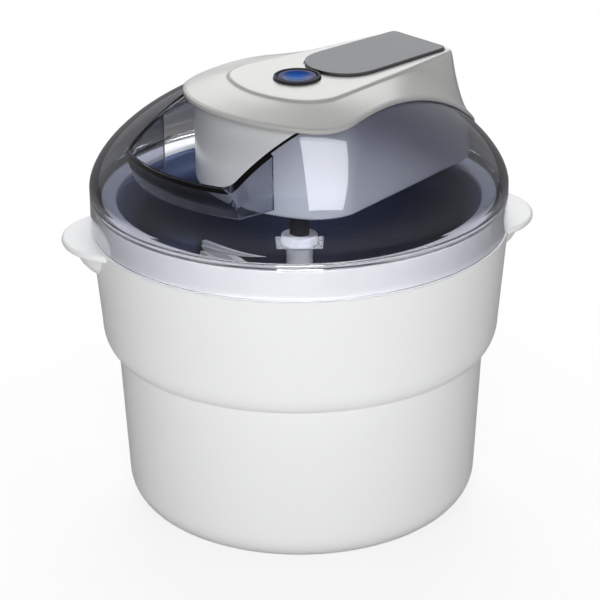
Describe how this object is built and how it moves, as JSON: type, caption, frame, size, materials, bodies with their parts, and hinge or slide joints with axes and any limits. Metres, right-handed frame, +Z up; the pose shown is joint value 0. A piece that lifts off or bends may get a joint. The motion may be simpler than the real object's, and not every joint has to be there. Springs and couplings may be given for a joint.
{
  "type": "ice cream maker",
  "caption": "Table-top ice cream maker: white bucket with two ears, lift-out freezer bowl, clear domed lid with filler opening, geared motor unit and turning paddle.",
  "frame": {"origin": "centre of the base, on the table", "axes": "+Z up along the bowl's and paddle's axis; -Y towards the filler opening and the nose of the motor unit, +Y towards its rear"},
  "size_m": [0.2086, 0.2102, 0.2258],
  "materials": {
    "white_body": "glossy white moulded plastic",
    "white_bowl": "satin white moulded plastic",
    "feet_rubber": "matt rubber",
    "bowl_metal": "smooth drawn aluminium, darkened by its coating",
    "cooling_gel": "pale blue gel",
    "seal_rubber": "soft grey rubber",
    "paddle_white": "white food-grade plastic",
    "lid_clear": "clear plastic with a smoky blue tint",
    "tub_white": "glossy warm white plastic",
    "cover_grey": "fine satin light grey plastic",
    "inlay_grey": "satin dark grey",
    "ring_black": "glossy black plastic",
    "button_blue": "glossy translucent blue plastic",
    "spring_steel": "drawn steel wire",
    "switch_black": "matt black plastic",
    "plunger_red": "red plastic",
    "grommet_rubber": "black rubber",
    "plate_steel": "zinc-plated sheet steel",
    "can_steel": "drawn sheet steel",
    "coil_copper": "enamelled copper winding",
    "magnet_dark": "dark sintered magnet",
    "shaft_steel": "ground steel",
    "gear_white": "natural nylon",
    "brass": "machined brass",
    "drive_black": "black reinforced nylon",
    "screw_steel": "zinc-plated steel"
  },
  "bodies": {
    "bucket": {"outer_housing": "white_body", "anti_slip_feet": "feet_rubber"},
    "freezer_bowl": {"bowl_outer_shell": "white_bowl", "bowl_inner_shell": "bowl_metal", "cooling_charge": "cooling_gel", "bowl_seal": "seal_rubber", "bowl_rim_ring": "white_bowl"},
    "paddle": {"paddle": "paddle_white"},
    "lid": {"dome_lid": "lid_clear"},
    "motor_unit": {"motor_tub": "tub_white", "motor_cover": "cover_grey", "inlay_plate": "inlay_grey", "button_ring": "ring_black", "button_spring": "spring_steel", "switch_body": "switch_black", "cord_grommet": "grommet_rubber", "gearbox_plate": "plate_steel", "motor_can": "can_steel", "stator_coil": "coil_copper", "motor_end_plate": "plate_steel", "idler_pin": "shaft_steel", "lower_bush": "brass", "upper_bush": "brass", "shaft_seal": "grommet_rubber", "gearbox_screws": "screw_steel", "motor_screws": "screw_steel", "cover_screws": "screw_steel"},
    "button": {"power_button": "button_blue", "switch_plunger": "plunger_red"},
    "rotor": {"rotor_magnet": "magnet_dark", "rotor_shaft": "shaft_steel", "motor_pinion": "brass"},
    "idler": {"idler_gear": "gear_white"},
    "drive": {"output_gear": "gear_white", "drive_shaft": "drive_black", "retaining_clip": "spring_steel"}
  },
  "joints": [
    {"name": "bowl_lift", "type": "slide", "parent": "bucket", "child": "freezer_bowl", "axis": [0, 0, 1], "range_m": [0, 0.15]},
    {"name": "lid_lift", "type": "slide", "parent": "freezer_bowl", "child": "lid", "axis": [0, 0, 1], "range_m": [0, 0.06]},
    {"name": "motor_lift", "type": "slide", "parent": "lid", "child": "motor_unit", "axis": [0, 0, 1], "range_m": [0, 0.1]},
    {"name": "button_press", "type": "slide", "parent": "motor_unit", "child": "button", "axis": [0, 0, -1], "range_m": [0, 0.002], "stiffness_N_per_m": 600, "springref_m": -0.002, "deforming": ["button_spring"]},
    {"name": "drive_spin", "type": "hinge", "parent": "motor_unit", "child": "drive", "pos_m": [0, 0, 0.185], "axis": [0, 0, 1], "continuous": true},
    {"name": "idler_spin", "type": "hinge", "parent": "motor_unit", "child": "idler", "pos_m": [0.0151, 0.02934, 0.18], "axis": [0, 0, 1], "continuous": true},
    {"name": "rotor_spin", "type": "hinge", "parent": "motor_unit", "child": "rotor", "pos_m": [0, 0.048, 0.2], "axis": [0, 0, 1], "continuous": true},
    {"name": "paddle_spin", "type": "hinge", "parent": "freezer_bowl", "child": "paddle", "pos_m": [0, 0, 0.1], "axis": [0, 0, 1], "continuous": true}
  ],
  "couplings": [
    {"joint": "idler_spin", "follows": "drive_spin", "ratio": -4.5},
    {"joint": "rotor_spin", "follows": "drive_spin", "ratio": 18},
    {"joint": "paddle_spin", "follows": "drive_spin", "ratio": 1}
  ]
}
